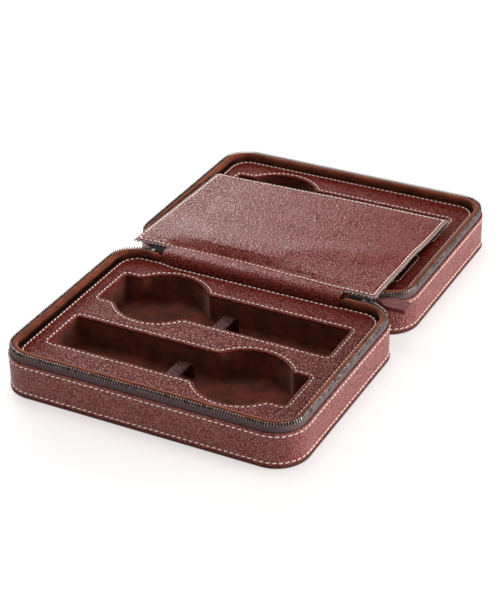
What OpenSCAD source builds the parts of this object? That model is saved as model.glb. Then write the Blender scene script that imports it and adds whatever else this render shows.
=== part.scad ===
// Zip-around leather travel case for four watches.
// Two equal halves meet at a spine, and a leather flap sewn along the spine divides them.
// Millimetres. +X runs along the spine, +Y points from the base to the lid, +Z is up.
// The origin is under the middle of the spine, on the surface that the open case lies on.

/* [Case] */
// Length of each half, along the spine
case_l = 190; // [180:1:220]
// Depth of each half, square to the spine
case_d = 143; // [136:1:170]
// Height of the side wall of each half
wall_h = 24; // [24:0.5:30]
// How far below the wall's top the leather stops where the zip runs
leather_drop = 1.3; // [0.5:0.1:3]
// Radius of the upright corners
corner_r = 19.5; // [18:0.5:22]
// Gap between the halves at the spine, with the case open flat
spine_gap = 8; // [8:0.5:10]

/* [Layers of the shell] */
// Thickness of the leather cover under each half
cover_t = 1.6; // [1.4:0.1:2]
// Thickness of the stiff board on the cover
floor_board_t = 1.4; // [1.2:0.1:2]
// Thickness of the leather on the side wall
side_t = 1.2; // [1:0.1:1.4]
// Thickness of the stiff board inside the side wall
wall_board_t = 1.6; // [1.4:0.1:2]
// Thickness of the padded suede lining of the wall
lining_t = 2.5; // [2:0.1:3]
// Height of the rolled top of the suede lining above the wall
lining_rise = 1.2; // [0.8:0.1:1.3]

/* [Insert and pockets] */
// Depth of the insert's face below the top of the wall
insert_drop = 1.5; // [1:0.1:3]
// Thickness of the insert's leather
insert_t = 1.2; // [1:0.1:1.6]
// Length of each pocket's opening
pocket_l = 152; // [150:1:156]
// Width of each pocket's opening, along the strap
pocket_w = 31; // [28:0.5:34]
// Radius of the round end that holds the watch head
head_r = 27.8; // [26:0.2:28.4]
// Distance of the round part from the middle of the pocket
head_x = 42; // [38:1:46]
// Distance between the middle lines of the two pockets
pocket_pitch = 55; // [54:0.5:57]
// Radius that eases the round part into the straight sides
ease_r = 5; // [4:0.5:7]
// Thickness of the suede pocket liner
liner_t = 0.8; // [0.6:0.1:1]

/* [Strap keepers] */
// Width of the leather loop that holds a watch strap down
keeper_w = 8; // [6:0.5:10]
// Clear width inside the loop, for the strap
keeper_span = 21; // [18:0.5:22]
// Clear height inside the loop
keeper_h = 10.5; // [8:0.5:12]
// Thickness of the loop's leather
keeper_t = 1.4; // [1.2:0.1:1.8]

/* [Zip] */
// Distance between neighbouring teeth
tooth_pitch = 1.6; // [1.6:0.1:2.4]
// Thickness of a tooth along the chain
tooth_t = 0.62; // [0.5:0.02:0.64]
// Width of a tooth across the tape
tooth_w = 2.4; // [2:0.1:2.6]
// Thickness of the woven tape
tape_t = 0.7; // [0.5:0.1:0.8]
// Height of the tape above the wall
tape_rise = 2.6; // [2:0.1:2.8]
// How far a tooth reaches past the plane where the halves meet
tooth_reach = 0.6; // [0.5:0.1:0.7]

/* [Divider flap] */
// Length of the flap along the spine
flap_l = 168; // [150:1:170]
// Reach of the flap from the spine
flap_d = 115; // [100:1:118]
// How far the flap is sewn on to the left of the middle
flap_shift = 3; // [0:0.5:4]
// Thickness of each of the flap's two leathers
flap_t = 0.8; // [0.6:0.1:0.8]
// Distance between neighbouring points of the flap's pinked edge
pink_pitch = 2.5; // [2:0.5:4]
// Depth of the notches in the pinked edge
pink_depth = 1.1; // [0.6:0.1:1.5]
// Length of the sewn hinge along the spine
hinge_l = 122; // [100:1:124]
// Radius of the cord in the hinge fold
welt_r = 1.4; // [1:0.1:1.4]

/* [Zip slider and pull] */
// Length of the slider
slider_l = 11; // [10:0.5:11]
// Width of the slider's mouth
slider_w = 6.4; // [6:0.2:6.4]
// Width of the leather pull
pull_w = 10.4; // [9:0.2:10.4]
// Length of the leather pull
pull_l = 20.5; // [15:0.5:20.5]
// Thickness of the folded leather pull
pull_t = 2.8; // [2.4:0.1:2.8]

/* [Hidden] */
$fn = 48;

// Colours
leather_c = [0.36, 0.17, 0.13];
suede_c = [0.42, 0.22, 0.12];
board_c = [0.62, 0.55, 0.45];
foam_c = [0.25, 0.24, 0.23];
tape_c = [0.24, 0.21, 0.21];
metal_c = [0.45, 0.42, 0.4];

// Heights
meet_z = wall_h + 3.8;                      // plane where the two closed halves meet
tape_top = wall_h + tape_rise;
tooth_top = meet_z + tooth_reach;
floor_top = cover_t + floor_board_t;
lining_top = wall_h + lining_rise;
insert_top = wall_h - insert_drop;
foam_top = insert_top - insert_t;
tape_foot = wall_h - 8.5;                   // lower edge of the tape, sewn inside the wall

// Insets from the outer face of the wall
board_in = side_t;
lining_in = side_t + wall_board_t;
inner_in = lining_in + lining_t;
play = 0.1;                                 // gap that lets the layers go together
chain_in = side_t + tape_t / 2;             // middle of the tape

// Places
mid_y = -(spine_gap + case_d) / 2;          // middle of the base
rear_y = -spine_gap / 2;                    // outer face of the base's wall at the spine
tape_end_x = case_l / 2 - corner_r - 5;     // where the tape turns in at the spine
chain_r = corner_r - chain_in;              // radius of the chain in the corners
cover_lip = 0.5;                            // how far the cover stands proud of the wall
roll_r = lining_t / 2;                      // rolled top of the suede lining
fold_t = 0.9;                               // leather inside the spine
fold_r = roll_r + 0.15;                     // its bend over the suede roll
fold_y = rear_y - inner_in + roll_r;        // middle of that bend
fold_z = lining_top - roll_r;
fold_top = fold_z + fold_r + fold_t;
flap_rest = 0.3;                            // gap under the far edge of the flap
flap_tilt = atan((meet_z - insert_top - flap_t - flap_rest) / flap_d);
flap_neck = 12;                             // where the flap widens past the hinge

// ---- Shapes that repeat ----

// Outline of one half, taken in by inset
module half_outline(inset = 0) {
  l = case_l - 2 * inset;
  d = case_d - 2 * inset;
  r = corner_r - inset;
  translate([0, mid_y]) {
    square([l - 2 * r, d], center = true);
    square([l, d - 2 * r], center = true);
    for (sx = [-1, 1], sy = [-1, 1])
      translate([sx * (l / 2 - r), sy * (d / 2 - r)]) circle(r);
  }
}

// Sweeps a profile round the half. In the profile, x is the distance outward from the wall's outer
// face, so the wall itself is at negative x, and y is the height.
module sweep_round_half() {
  for (sx = [-1, 1], sy = [-1, 1])
    translate([sx * (case_l / 2 - corner_r), mid_y + sy * (case_d / 2 - corner_r)])
      rotate(sx > 0 ? (sy > 0 ? 0 : 270) : (sy > 0 ? 90 : 180))
        rotate_extrude(angle = 90) translate([corner_r, 0]) children();
  for (sx = [-1, 1])
    translate([sx * case_l / 2, mid_y, 0]) rotate(sx > 0 ? 0 : 180)
      straight_run(case_d - 2 * corner_r) children();
  for (sy = [-1, 1])
    translate([0, mid_y + sy * case_d / 2, 0]) rotate(sy * 90)
      straight_run(case_l - 2 * corner_r) children();
}

// A straight length of a profile, along Y, with the profile's x outward along X
module straight_run(length) {
  translate([0, length / 2, 0]) rotate([90, 0, 0]) linear_extrude(length) children();
}

// One pocket seen from above: a strap channel with a round part for the watch head, eased together
// by arcs that are drawn as short chords
module pocket_outline(grow = 0) {
  r = head_r + grow;
  h = pocket_w / 2 + grow;
  f = ease_r - grow;
  reach = sqrt((r + f) ^ 2 - (h + f) ^ 2);
  meet = atan((h + f) / reach);
  chords = 5;
  ease = [for (i = [1:chords - 1]) let (a = 270 - (90 - meet) * i / chords)
    [reach + f * cos(a), h + f + f * sin(a)]];
  inside = (r - 0.4) * [cos(meet), sin(meet)];
  wedge = concat([[reach + 1, h - 2], [reach + 0.6, h - 0.6]], ease, [inside, [inside.x, h - 2]]);
  square([pocket_l + 2 * grow, 2 * h], center = true);
  translate([head_x, 0]) circle(r);
  for (turn = [0, 180]) translate([head_x, 0]) rotate(turn) {
    polygon(wedge);
    polygon([for (i = [len(wedge) - 1:-1:0]) [wedge[i].x, -wedge[i].y]]);
  }
}

// Puts a child in the front pocket, whose head is to the right
module at_front_pocket() {
  translate([0, mid_y - pocket_pitch / 2]) children();
}

// Puts a child in the rear pocket, whose head is to the left
module at_rear_pocket() {
  translate([0, mid_y + pocket_pitch / 2]) rotate(180) children();
}

// The lid is the base turned half round, so that the two close face to face
module as_lid() {
  rotate(180) children();
}

// ---- One half ----

// Outer leather panel that the half stands on, with an eased edge just proud of the wall
module cover() {
  ease = 0.5;
  edge = 3;
  color(leather_c) {
    sweep_round_half() polygon([
      [-edge, 0], [cover_lip - ease, 0], [cover_lip, ease], [cover_lip, cover_t - ease],
      [cover_lip - ease, cover_t], [-edge, cover_t]
    ]);
    linear_extrude(cover_t) half_outline(edge);
  }
}

// Stiff board glued to the cover
module floor_board() {
  color(board_c) translate([0, 0, cover_t])
    linear_extrude(floor_board_t) half_outline(board_in + play);
}

// Leather round the side wall up to a height, with its turned top edge eased
module wall_strip(top) {
  ease = 0.35;
  sweep_round_half() polygon([
    [0, cover_t], [0, top - ease], [-ease, top], [ease - side_t, top],
    [-side_t, top - ease], [-side_t, cover_t]
  ]);
}

// Leather of the side wall. It stops low along the zip, whose tape stands above it, and is full
// height at the spine.
module side_leather() {
  color(leather_c) {
    wall_strip(wall_h - leather_drop);
    intersection() {
      wall_strip(wall_h);
      translate([-tape_end_x, rear_y - corner_r / 2, tape_foot])
        cube([2 * tape_end_x, corner_r, wall_h]);
    }
  }
}

// Stiff board inside the wall, rebated where the zip tape is sewn to it
module wall_board() {
  color(board_c) difference() {
    translate([0, 0, floor_top]) linear_extrude(wall_h - 0.6 - floor_top) difference() {
      half_outline(board_in);
      half_outline(lining_in);
    }
    translate([0, 0, tape_foot]) linear_extrude(wall_h) tape_outline();
  }
}

// Padded suede lining of the wall, with a rolled top
module suede_lining() {
  color(suede_c) sweep_round_half() {
    translate([-inner_in, floor_top]) square([lining_t, lining_top - roll_r - floor_top]);
    intersection() {
      translate([-inner_in + roll_r, lining_top - roll_r]) circle(roll_r);
      translate([-inner_in, lining_top - roll_r - 0.1]) square([lining_t, roll_r + 0.2]);
    }
  }
}

// Room behind the insert and foam for the hinge lining, at the spine
module hinge_lining_slot() {
  translate([-hinge_l / 2 - play, fold_y - fold_r - fold_t - play])
    square([hinge_l + 2 * play, 3 * fold_t]);
}

// Foam block that carries the insert and shapes the pockets
module foam() {
  hole = 0.6 + liner_t;
  color(foam_c) translate([0, 0, floor_top]) linear_extrude(foam_top - floor_top) difference() {
    half_outline(inner_in + play);
    at_front_pocket() pocket_outline(hole);
    at_rear_pocket() pocket_outline(hole);
    hinge_lining_slot();
  }
}

// Leather face of the insert, cut out over the pockets
module insert() {
  color(leather_c) translate([0, 0, foam_top]) linear_extrude(insert_t) difference() {
    half_outline(inner_in + play);
    at_front_pocket() pocket_outline();
    at_rear_pocket() pocket_outline();
    hinge_lining_slot();
  }
}

// Suede cup that lines one pocket
module pocket_liner() {
  inner = 0.6;
  color(suede_c) translate([0, 0, floor_top]) difference() {
    linear_extrude(foam_top - floor_top) pocket_outline(inner + liner_t - 0.03);
    translate([0, 0, liner_t]) linear_extrude(wall_h) pocket_outline(inner);
  }
}

// Leather loop across the pocket, with two feet glued to its floor
module keeper() {
  bend = 4;
  foot = 2.4;
  out_w = keeper_span + 2 * keeper_t;
  out_h = keeper_h + keeper_t;
  color(leather_c) translate([-keeper_w / 2, 0, floor_top + liner_t])
    rotate([90, 0, 90]) linear_extrude(keeper_w) {
      difference() {
        arch(out_w, out_h, bend + keeper_t);
        arch(keeper_span, keeper_h, bend);
      }
      for (sx = [-1, 1])
        translate([sx * (out_w / 2 + foot / 2 - 0.2), keeper_t / 2]) square([foot, keeper_t], center = true);
    }
}

// Flat-bottomed arch with rounded shoulders, standing on the x axis
module arch(w, h, r) {
  translate([-w / 2, 0]) square([w, h - r]);
  translate([-w / 2 + r, 0]) square([w - 2 * r, h]);
  for (sx = [-1, 1]) translate([sx * (w / 2 - r), h - r]) circle(r);
}

// ---- Zip ----

// Plan of the tape: a thin ring that is open along the spine
module tape_outline() {
  difference() {
    half_outline(side_t);
    half_outline(side_t + tape_t);
    translate([-tape_end_x, rear_y - corner_r / 2]) square([2 * tape_end_x, corner_r]);
  }
}

// Woven tape, sewn between the leather and the board
module zip_tape() {
  color(tape_c) translate([0, 0, tape_foot]) linear_extrude(tape_top - tape_foot) tape_outline();
}

// The chain runs from the middle of the front, s = 0, round both ends to the spine
front_run = case_l / 2 - corner_r;
corner_run = chain_r * PI / 2;
side_run = case_d - 2 * corner_r;
chain_half = front_run + 2 * corner_run + side_run;

// Place and heading of the chain at distance s >= 0 to the right of the middle of the front
function chain_right(s) =
  s <= front_run ? [s, mid_y - case_d / 2 + chain_in, 0] :
  s <= front_run + corner_run ?
    let (a = (s - front_run) / chain_r * 180 / PI)
    [front_run + chain_r * sin(a), mid_y - case_d / 2 + corner_r - chain_r * cos(a), a] :
  s <= front_run + corner_run + side_run ?
    [case_l / 2 - chain_in, mid_y - case_d / 2 + corner_r + s - front_run - corner_run, 90] :
    let (a = (s - front_run - corner_run - side_run) / chain_r * 180 / PI)
    [front_run + chain_r * cos(a), rear_y - corner_r + chain_r * sin(a), 90 + a];

// Place and heading of the chain at any distance s, negative to the left
function chain_at(s) = let (p = chain_right(abs(s))) s >= 0 ? p : [-p.x, p.y, -p.z];

// One tooth: jaws that grip the tape's edge and a narrower head that meshes with the other half
module tooth() {
  jaw_foot = tape_top - 1.5;
  jaw_top = meet_z - tooth_reach - 0.1;
  half_w = tooth_w / 2;
  half_head = half_w - 0.3;
  half_tip = half_w - 0.6;
  slot = tape_t / 2 + 0.01;
  rotate([90, 0, 90]) translate([0, 0, -tooth_t / 2]) linear_extrude(tooth_t) polygon([
    [-half_w, jaw_foot], [-slot, jaw_foot], [-slot, tape_top], [slot, tape_top],
    [slot, jaw_foot], [half_w, jaw_foot], [half_w, jaw_top - 0.3], [half_head, jaw_top],
    [half_tip, tooth_top], [-half_tip, tooth_top], [-half_head, jaw_top], [-half_w, jaw_top - 0.3]
  ]);
}

// Row of teeth. It starts a quarter of a pitch off the middle, so that the same row on the lid,
// which is turned half round, falls in the gaps of this one when the case closes.
module zip_teeth() {
  count = floor(chain_half / tooth_pitch) - 1;
  color(metal_c) for (i = [-count:count - 1]) {
    p = chain_at((i + 0.25) * tooth_pitch);
    translate([p.x, p.y]) rotate(p.z) tooth();
  }
}

// Metal stops clamped on the tape past each end of the chain
module zip_stops() {
  stop_l = 2.4;
  color(metal_c) for (sx = [-1, 1])
    translate([sx * (tape_end_x + 1.8), rear_y - chain_in, 0]) difference() {
      translate([-stop_l / 2, -tooth_w / 2, tape_top - 1.5]) cube([stop_l, tooth_w, 2.2]);
      translate([-stop_l, -tape_t / 2, tape_top - 3]) cube([2 * stop_l, tape_t, 3]);
    }
}

// ---- Spine ----

// Leather on the outside of the spine: each half carries one flank of the fold
module spine_leather() {
  foot_z = 10;
  flank_t = 1.2;
  crest_t = 2.4;
  top_z = fold_top - fold_t - 0.05;
  color(leather_c) translate([-hinge_l / 2, 0, 0]) rotate([90, 0, 90]) linear_extrude(hinge_l) polygon([
    [rear_y, foot_z], [rear_y, wall_h], [rear_y + 0.7, top_z], [rear_y + crest_t, top_z],
    [rear_y + flank_t, wall_h - 1], [rear_y + flank_t, foot_z + 0.6], [rear_y + flank_t / 2, foot_z]
  ]);
}

// Leather inside the spine: it comes up behind the insert, bends over the suede roll and runs
// across the wall to the fold
module hinge_lining() {
  foot_z = 9;
  fold_gap = 0.15;
  color(leather_c) translate([-hinge_l / 2, 0, 0]) rotate([90, 0, 90]) linear_extrude(hinge_l) {
    translate([fold_y - fold_r - fold_t, foot_z]) square([fold_t, fold_z - foot_z]);
    translate([fold_y, fold_z + fold_r]) square([-fold_y - fold_gap, fold_t]);
    translate([fold_y, fold_z]) intersection() {
      difference() {
        circle(fold_r + fold_t);
        circle(fold_r);
      }
      translate([-2 * fold_r, 0]) square(2 * fold_r);
    }
  }
}

// A rod on the hinge axis
module spine_axis_rod(r, length) {
  translate([-length / 2, 0, meet_z]) rotate([0, 90, 0]) cylinder(r = r, h = length);
}

// ---- Flap ----

// Points of a pinked edge from p to q, with the notches on the left of the way
function pinked(p, q) = let (
    run = q - p,
    way = run / norm(run),
    n = round(norm(run) / pink_pitch)
  )
  [for (i = [0:n - 1], k = [0, 1])
    p + run * (i + k / 2) / n + k * pink_depth * [-way.y, way.x]];

// Plan of the flap: a neck at the hinge and a page with pinked edges
module flap_outline() {
  neck_l = hinge_l - 2;
  x0 = -flap_l / 2 - flap_shift;
  x1 = flap_l / 2 - flap_shift;
  translate([-neck_l / 2, 0]) square([neck_l, flap_neck + 2 * pink_depth]);
  polygon(concat(
    pinked([x0, flap_neck], [x1, flap_neck]), pinked([x1, flap_neck], [x1, flap_d]),
    pinked([x1, flap_d], [x0, flap_d]), pinked([x0, flap_d], [x0, flap_neck])
  ));
}

// One of the flap's two leathers, from height low above the hinge axis, sewn round the welt
module flap_leather(low) {
  color(leather_c) difference() {
    translate([0, 0, meet_z]) rotate([-flap_tilt, 0, 0])
      translate([0, 0, low]) linear_extrude(flap_t) flap_outline();
    spine_axis_rod(welt_r, hinge_l + 2);
  }
}

module flap_face() {
  flap_leather(0);
}

module flap_back() {
  flap_leather(-flap_t);
}

// Cord in the fold, on the hinge axis
module flap_welt() {
  color(leather_c) spine_axis_rod(welt_r, hinge_l - 2);
}

// ---- Slider and pull ----

slider_x = case_l / 2 - corner_r - slider_l / 2 - 0.5;  // middle of the slider
plate_t = 0.8;
throat = 1.4;                               // room between the plates for the chain
throat_z = meet_z - 0.2;                    // middle of the throat
plate_z = throat_z - throat / 2 - plate_t;  // underside of the lower plate
flange_w = 0.6;                             // rims of the plates that hold the chain in
flange_h = 0.3;
link_r = 0.55;
link_x = slider_x + 2.6;                    // axis that the pull swings on
link_z = plate_z - 0.85;
pull_x = link_x + 7.2;                      // rod of the link that the leather is folded round

// Plan of a slider plate: wide at the mouth and narrow at the tail
module plate_outline() {
  tail_x = -slider_l / 2;
  mouth_x = slider_l / 2;
  polygon([
    [tail_x, -slider_w / 2 + 0.8], [mouth_x - 2, -slider_w / 2], [mouth_x, -slider_w / 2 + 1],
    [mouth_x, slider_w / 2 - 1], [mouth_x - 2, slider_w / 2], [tail_x, slider_w / 2 - 0.8]
  ]);
}

// Rim along both long edges of a slider plate
module plate_rims() {
  difference() {
    plate_outline();
    square([2 * slider_l, slider_w - 2 * flange_w], center = true);
  }
}

// Slider: two plates joined by the wedge that parts the chains, with a bridge for the pull below
module zip_slider() {
  bridge_w = 2.2;
  post_t = 1.2;
  bar_t = 0.8;
  bridge_drop = 2.5;
  posts = [-slider_l / 2 + 1, slider_l / 2 - 1.4];
  wedge_w = 2.6;
  color(metal_c) translate([slider_x, 0, plate_z]) {
    linear_extrude(plate_t) plate_outline();
    translate([0, 0, plate_t]) linear_extrude(flange_h) plate_rims();
    translate([0, 0, plate_t]) linear_extrude(throat)
      polygon([[slider_l / 2, -wedge_w / 2], [slider_l / 2, wedge_w / 2], [1, 0.4], [1, -0.4]]);
    translate([0, 0, plate_t + throat - flange_h]) linear_extrude(flange_h) plate_rims();
    translate([0, 0, plate_t + throat]) linear_extrude(plate_t) plate_outline();
    for (x = posts)
      translate([x - post_t / 2, -bridge_w / 2, -bridge_drop]) cube([post_t, bridge_w, bridge_drop]);
    translate([posts[0], -bridge_w / 2, -bridge_drop]) cube([posts[1] - posts[0], bridge_w, bar_t]);
  }
}

// End of the base's tape, folded over on the outside of the wall, with the chain's last bead on
// its edge. The slider is parked on it when the case is open.
module zip_anchor() {
  strip_t = 0.6;
  foot_z = 17;
  start_x = hinge_l / 2 + 1;
  length = case_l / 2 - corner_r - start_x;
  bead_y = -slider_w / 2 + flange_w + 0.2;
  bead_w = 0.7;
  bead_h = throat - 0.3;
  color(tape_c) translate([start_x, 0, 0]) rotate([90, 0, 90]) linear_extrude(length) {
    translate([rear_y, foot_z]) square([strip_t, throat_z + strip_t / 2 - foot_z]);
    translate([rear_y, throat_z - strip_t / 2]) square([bead_y - rear_y, strip_t]);
    translate([bead_y, throat_z - bead_h / 2]) square([bead_w, bead_h]);
  }
}

// Metal link between the slider's bridge and the leather
module pull_link() {
  arm_y = 2.2;
  color(metal_c) {
    for (x = [link_x, pull_x])
      translate([x, 0, link_z]) rotate([90, 0, 0]) cylinder(r = link_r, h = 2 * (arm_y + link_r), center = true);
    for (sy = [-1, 1])
      translate([link_x, sy * arm_y, link_z]) rotate([0, 90, 0]) cylinder(r = link_r - 0.02, h = pull_x - link_x);
  }
}

// Leather pull, folded round the link's rod and sewn to itself
module pull_tab() {
  neck_w = 3;
  neck_l = 1.4;
  taper_l = 4.6;
  end_r = 1.3;
  tip_x = pull_l - pull_t / 2;
  color(leather_c) translate([pull_x, 0, link_z]) difference() {
    union() {
      translate([0, 0, -pull_t / 2]) linear_extrude(pull_t) {
        polygon([
          [0, -neck_w / 2], [neck_l, -neck_w / 2], [neck_l + taper_l, -pull_w / 2],
          [tip_x - end_r, -pull_w / 2], [tip_x - end_r, pull_w / 2], [neck_l + taper_l, pull_w / 2],
          [neck_l, neck_w / 2], [0, neck_w / 2]
        ]);
        translate([tip_x - end_r, -pull_w / 2 + end_r]) square([end_r, pull_w - 2 * end_r]);
        for (sy = [-1, 1]) translate([tip_x - end_r, sy * (pull_w / 2 - end_r)]) circle(end_r);
      }
      rotate([90, 0, 0]) cylinder(r = pull_t / 2, h = neck_w, center = true);
    }
    rotate([90, 0, 0]) cylinder(r = link_r + 0.05, h = 2 * neck_w, center = true);
  }
}

// ---- Nodes ----

cover();  // base_cover
floor_board();  // base_floor_board
side_leather();  // base_side_leather
wall_board();  // base_wall_board
suede_lining();  // base_suede_lining
foam();  // base_foam
insert();  // base_insert
at_front_pocket() pocket_liner();  // base_front_pocket_liner
at_rear_pocket() pocket_liner();  // base_rear_pocket_liner
at_front_pocket() keeper();  // base_front_keeper
at_rear_pocket() keeper();  // base_rear_keeper
zip_tape();  // base_zip_tape
zip_teeth();  // base_zip_teeth
zip_stops();  // base_zip_stops
spine_leather();  // base_spine_leather
hinge_lining();  // base_hinge_lining
zip_anchor();  // base_zip_anchor
as_lid() cover();  // lid_cover
as_lid() floor_board();  // lid_floor_board
as_lid() side_leather();  // lid_side_leather
as_lid() wall_board();  // lid_wall_board
as_lid() suede_lining();  // lid_suede_lining
as_lid() foam();  // lid_foam
as_lid() insert();  // lid_insert
as_lid() at_front_pocket() pocket_liner();  // lid_far_pocket_liner
as_lid() at_rear_pocket() pocket_liner();  // lid_near_pocket_liner
as_lid() at_front_pocket() keeper();  // lid_far_keeper
as_lid() at_rear_pocket() keeper();  // lid_near_keeper
as_lid() zip_tape();  // lid_zip_tape
as_lid() zip_teeth();  // lid_zip_teeth
as_lid() zip_stops();  // lid_zip_stops
as_lid() spine_leather();  // lid_spine_leather
as_lid() hinge_lining();  // lid_hinge_lining
flap_face();
flap_back();
flap_welt();
zip_slider();
pull_link();
pull_tab();
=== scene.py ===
"""Looks of the zip-around travel case for four watches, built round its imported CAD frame.

Shapes are worked out in millimetres in the frame's own axes and turned into metres when a mesh is
made. The lid is the base turned half round about Z, so both halves come from the same functions.
"""

import math

import bmesh
import bpy
import numpy as np
from mathutils import Matrix, Vector, noise
from mathutils.geometry import delaunay_2d_cdt


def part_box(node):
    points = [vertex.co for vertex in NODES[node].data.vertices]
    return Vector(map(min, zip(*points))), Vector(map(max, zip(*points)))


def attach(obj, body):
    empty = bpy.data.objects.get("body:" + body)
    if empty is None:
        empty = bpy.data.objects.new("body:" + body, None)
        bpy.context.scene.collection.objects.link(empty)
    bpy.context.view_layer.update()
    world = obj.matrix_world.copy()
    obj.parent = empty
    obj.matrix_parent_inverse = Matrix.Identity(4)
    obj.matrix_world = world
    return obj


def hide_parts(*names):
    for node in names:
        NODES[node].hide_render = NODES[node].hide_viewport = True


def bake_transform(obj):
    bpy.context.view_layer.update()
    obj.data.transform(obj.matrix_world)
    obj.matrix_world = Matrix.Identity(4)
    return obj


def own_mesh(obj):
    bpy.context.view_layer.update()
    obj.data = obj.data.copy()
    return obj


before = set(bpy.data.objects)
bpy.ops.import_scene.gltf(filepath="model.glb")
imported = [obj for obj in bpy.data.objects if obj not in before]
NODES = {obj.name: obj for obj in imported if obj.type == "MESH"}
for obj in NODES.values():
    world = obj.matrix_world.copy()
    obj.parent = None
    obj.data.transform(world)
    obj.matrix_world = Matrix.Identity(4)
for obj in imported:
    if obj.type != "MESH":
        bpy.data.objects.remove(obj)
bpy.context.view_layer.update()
MM = 0.001
HALVES = {"base": 1, "lid": -1}  # body: sign that X and Y take


def box_mm(node):
    """Lowest and highest corner of a CAD node, in millimetres."""
    lo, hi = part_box(node)
    return lo / MM, hi / MM


# ---- Sizes, in millimetres ----

WALL_LO, WALL_HI = box_mm("base_side_leather")
COVER_HI = box_mm("base_cover")[1]
LINING_HI = box_mm("base_suede_lining")[1]
INSERT_LO, INSERT_HI = box_mm("base_insert")
LINER_LO, LINER_HI = box_mm("base_front_pocket_liner")
REAR_LINER_LO, REAR_LINER_HI = box_mm("base_rear_pocket_liner")
HINGE_LO, HINGE_HI = box_mm("base_hinge_lining")

CASE_L = WALL_HI.x - WALL_LO.x
CASE_D = WALL_HI.y - WALL_LO.y
MID_Y = (WALL_LO.y + WALL_HI.y) / 2
REAR_Y = WALL_HI.y
CORNER_R = 19.5  # upright corners, at the outer face of the wall
WALL_TOP = WALL_HI.z
WALL_FOOT = WALL_LO.z
SIDE_T = 1.2  # leather on the side wall
LINING_IN = WALL_HI.x - LINING_HI.x
LINING_TOP = LINING_HI.z
LINING_T = 2.5
INSERT_IN = WALL_HI.x - INSERT_HI.x
INSERT_TOP = INSERT_HI.z
INSERT_FOOT = INSERT_LO.z
HINGE_HALF = HINGE_HI.x
HINGE_SLOT_Y = HINGE_LO.y
GUSSET_MID = -3.0  # the gusset is sewn in a little left of the middle

LINER_OUT = 1.37  # how far a pocket liner's outer face stands outside the insert's opening
LINER_GAP = 0.6  # how far its inner face stands outside the opening
POCKET_HALF_L = LINER_HI.x - LINER_OUT
POCKET_HALF_W = 15.5
HEAD_R = (LINER_HI.y - LINER_LO.y) / 2 - LINER_OUT
HEAD_X = 42  # middle of the round place for a watch head
EASE_R = 5  # round place's turn into the straight sides
POCKET_CORNER_R = 1.5
POCKET_Y = {"front": (LINER_LO.y + LINER_HI.y) / 2, "rear": (REAR_LINER_LO.y + REAR_LINER_HI.y) / 2}
POCKET_TURN = {"front": 1, "rear": -1}  # the rear pocket is the front one turned half round
LINER_FOOT = 3.0
LINER_FLOOR = 3.8

WALL_STITCH = (3.6, 2.95, 0.37)  # pitch, length and radius
INSERT_STITCH = (3.2, 2.6, 0.33)
FLAP_STITCH = (3.0, 2.45, 0.38)
GROOVE_W = 0.5  # half the width of the groove that a row of stitches draws in

TAPE_FOOT = box_mm("base_zip_tape")[0].z
TAPE_BEND_Z = 22.2  # the tape is upright below here
TAPE_BEND_L = 4.5  # length of tape above that, which leans in over the lining
TAPE_LEAN = math.radians(21)  # slope of the tape's upper edge from upright
END_UPRIGHT = 0.6  # share of the lean that is missing along the ends of the case
LID_LEAN = 0.35  # share of that lean on the lid's half
TAPE_MID = SIDE_T + 0.35  # inset of the upright part's middle
TAPE_HALF_T = 0.33
TAPE_END_X = 70.5
CORD_FROM = 2.9  # the tape is dark from here to its edge, where the teeth are clamped
TOOTH_PITCH = 1.6
TOOTH_T = 0.6
TEETH_FROM_END = 5.0  # the first tooth stands this far from the end of the tape, past the stop


# ---- Meshes ----

def link_mesh(name, verts, faces, uvs=None):
    """A smooth mesh object from millimetre points. uvs has one pair for each corner of each face."""
    mesh = bpy.data.meshes.new(name)
    mesh.from_pydata([tuple(v) for v in np.asarray(verts, float) * MM], [], faces)
    mesh.polygons.foreach_set("use_smooth", [True] * len(mesh.polygons))
    if uvs is not None:
        layer = mesh.uv_layers.new(name="run")
        layer.data.foreach_set("uv", (np.asarray(uvs, float) * MM).ravel())
    mesh.validate()
    obj = bpy.data.objects.new(name, mesh)
    bpy.context.scene.collection.objects.link(obj)
    return obj


def face_outward(obj):
    """Makes a closed mesh's faces point outward."""
    bm = bmesh.new()
    bm.from_mesh(obj.data)
    bmesh.ops.recalc_face_normals(bm, faces=bm.faces)
    bm.to_mesh(obj.data)
    bm.free()
    return obj


def sharpen(obj, degrees=40):
    """Keeps edges that turn by more than this angle crisp while the rest stays smooth."""
    obj.data.set_sharp_from_angle(angle=math.radians(degrees))


def dress(obj, mat, body=None, replaces=()):
    """Gives a piece its material, its body and the CAD nodes that it stands for."""
    obj.data.materials.clear()
    for m in mat if isinstance(mat, (list, tuple)) else [mat]:
        obj.data.materials.append(m)
    if body:
        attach(obj, body)
    if replaces:
        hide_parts(*replaces)
    return obj


def smoothstep(x, low=0.0, high=1.0):
    t = np.clip((np.asarray(x, float) - low) / (high - low), 0, 1)
    return t * t * (3 - 2 * t)


def wave(x, crest, width):
    """A smooth bump of height 1 round crest."""
    return np.exp(-((x - crest) / width) ** 2)


def ripple(points, size, seed):
    """Smooth noise from -1 to 1 at each point, with bumps about size across."""
    shift = Vector((seed * 17.3, seed * 5.1, seed * 9.7))
    return np.array([noise.noise(Vector(p) / size + shift) for p in points])


def run_of(points):
    """Distance along a polyline from its first point to each of its points."""
    return np.concatenate([[0], np.cumsum(np.linalg.norm(np.diff(points, axis=0), axis=1))])


def along_run(at, run, rows):
    """Rows that belong to the distances run, taken at the distances at."""
    return np.column_stack([np.interp(at, run, column) for column in np.transpose(rows)])


def unit(rows):
    """The same directions, with length 1."""
    return rows / np.linalg.norm(rows, axis=1)[:, None]


def left_of(path):
    """Directions to the left of a 2-D path."""
    way = unit(np.gradient(path, axis=0))
    return np.column_stack([-way[:, 1], way[:, 0]])


def mirrored(path):
    """A 2-D path and, after its last point at 0, the same path back on the other side."""
    return np.array(path + [(-a, b) for a, b in path[-2::-1]], float)


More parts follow.
